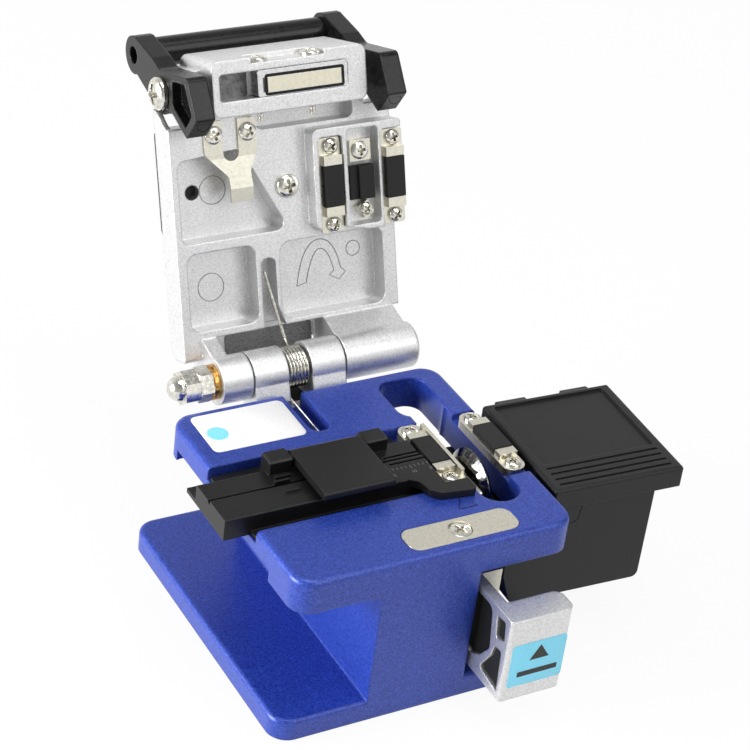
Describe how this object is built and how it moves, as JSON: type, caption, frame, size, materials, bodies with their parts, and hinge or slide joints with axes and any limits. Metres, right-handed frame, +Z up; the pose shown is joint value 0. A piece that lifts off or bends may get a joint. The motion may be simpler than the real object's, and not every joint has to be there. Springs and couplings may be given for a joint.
{
  "type": "fibre cleaver",
  "caption": "Cleaver for optical fibre: a cast base with a raised deck, a sprung lid with pads and a folding lever, a push slider with a round blade, a fibre holder and a scrap bin.",
  "frame": {"origin": "centre of the lower plate's underside", "axes": "+X right along the hinge axis, +Y from the push slider to the hinge, +Z up"},
  "size_m": [0.1019, 0.1274, 0.1043],
  "materials": {
    "blue_casting": "blue powder coat on die casting",
    "silver_casting": "silver sprayed die casting",
    "black_plastic": "black moulded",
    "black_gloss": "black gloss",
    "black_rubber": "dark grey pad",
    "nickel_steel": "nickel plated",
    "bright_steel": "bright screw",
    "brass": "plain brass",
    "black_anodised": "black anodised",
    "spring_steel": "spring wire",
    "magnet_plate": "plated magnet"
  },
  "bodies": {
    "frame": {"base_casting": "blue_casting", "hinge_bracket": "silver_casting", "hinge_bracket_screws": "bright_steel", "hinge_shaft": "bright_steel", "hinge_washer": "brass", "hinge_lock_nut": "bright_steel", "hinge_acorn_nut": "bright_steel", "lid_torsion_spring": "spring_steel", "keeper_plate": "nickel_steel", "keeper_screw": "bright_steel", "base_pad_tray_left": "nickel_steel", "base_pad_tray_right": "nickel_steel", "base_rubber_pad_left": "black_rubber", "base_rubber_pad_right": "black_rubber", "base_pad_screws": "bright_steel", "fibre_holder": "black_anodised", "fibre_clamp_pin": "bright_steel", "slide_rail": "nickel_steel", "slide_rail_screws": "bright_steel", "scrap_bin": "black_plastic", "scrap_bin_pin": "black_plastic"},
    "lid": {"lid_casting": "silver_casting", "lid_back_cover": "black_plastic", "lid_centre_screw": "bright_steel", "magnet_bracket": "nickel_steel", "magnet": "magnet_plate", "magnet_screws": "bright_steel", "leaf_clip": "nickel_steel", "leaf_clip_screws": "bright_steel", "lid_pad_tray_left": "nickel_steel", "lid_pad_tray_right": "nickel_steel", "lid_rubber_pad_left": "black_rubber", "lid_rubber_pad_right": "black_rubber", "lid_pad_screws": "bright_steel", "anvil_brackets": "nickel_steel", "anvil_screws": "bright_steel", "lever_pivot_screws": "bright_steel"},
    "anvil": {"anvil_block": "black_rubber"},
    "lever": {"lever_left_arm": "black_gloss", "lever_right_arm": "black_gloss", "lever_bar": "black_gloss"},
    "carriage": {"push_slider": "silver_casting", "wheel_carriage": "nickel_steel", "wheel_axle": "bright_steel"},
    "wheel": {"blade_wheel": "bright_steel"},
    "fibre_clamp": {"fibre_clamp_lid": "black_anodised"},
    "bin_lid": {"scrap_bin_lid": "black_plastic"}
  },
  "joints": [
    {"name": "lid_hinge", "type": "hinge", "parent": "frame", "child": "lid", "pos_m": [0.00415, 0.0317, 0.0407], "axis": [-1, 0, 0], "range_deg": [-109.6, 0], "stiffness_Nm_per_rad": 0.02, "springref_deg": 20.05, "deforming": ["lid_torsion_spring"]},
    {"name": "lever_fold", "type": "hinge", "parent": "lid", "child": "lever", "pos_m": [0.0045, 0.06134, 0.09426], "axis": [-1, 0, 0], "range_deg": [0, 73]},
    {"name": "anvil_press", "type": "slide", "parent": "lid", "child": "anvil", "axis": [0, 0.9421, -0.3355], "range_m": [0, 0.001], "stiffness_N_per_m": 400},
    {"name": "push_slide", "type": "slide", "parent": "frame", "child": "carriage", "axis": [0, 1, 0], "range_m": [0, 0.016]},
    {"name": "wheel_turn", "type": "hinge", "parent": "carriage", "child": "wheel", "pos_m": [0.02175, -0.0108, 0.0335], "axis": [1, 0, 0], "continuous": true},
    {"name": "clamp_hinge", "type": "hinge", "parent": "frame", "child": "fibre_clamp", "pos_m": [-0.00785, -0.0009, 0.0427], "axis": [-1, 0, 0], "range_deg": [0, 100]},
    {"name": "bin_lid_hinge", "type": "hinge", "parent": "frame", "child": "bin_lid", "pos_m": [0.03439, 0.00726, 0.0364], "axis": [-0.9988, 0.0497, 0], "range_deg": [0, 80]}
  ],
  "couplings": [
    {"joint": "lever_fold", "follows": "lid_hinge", "ratio": -0.665}
  ]
}
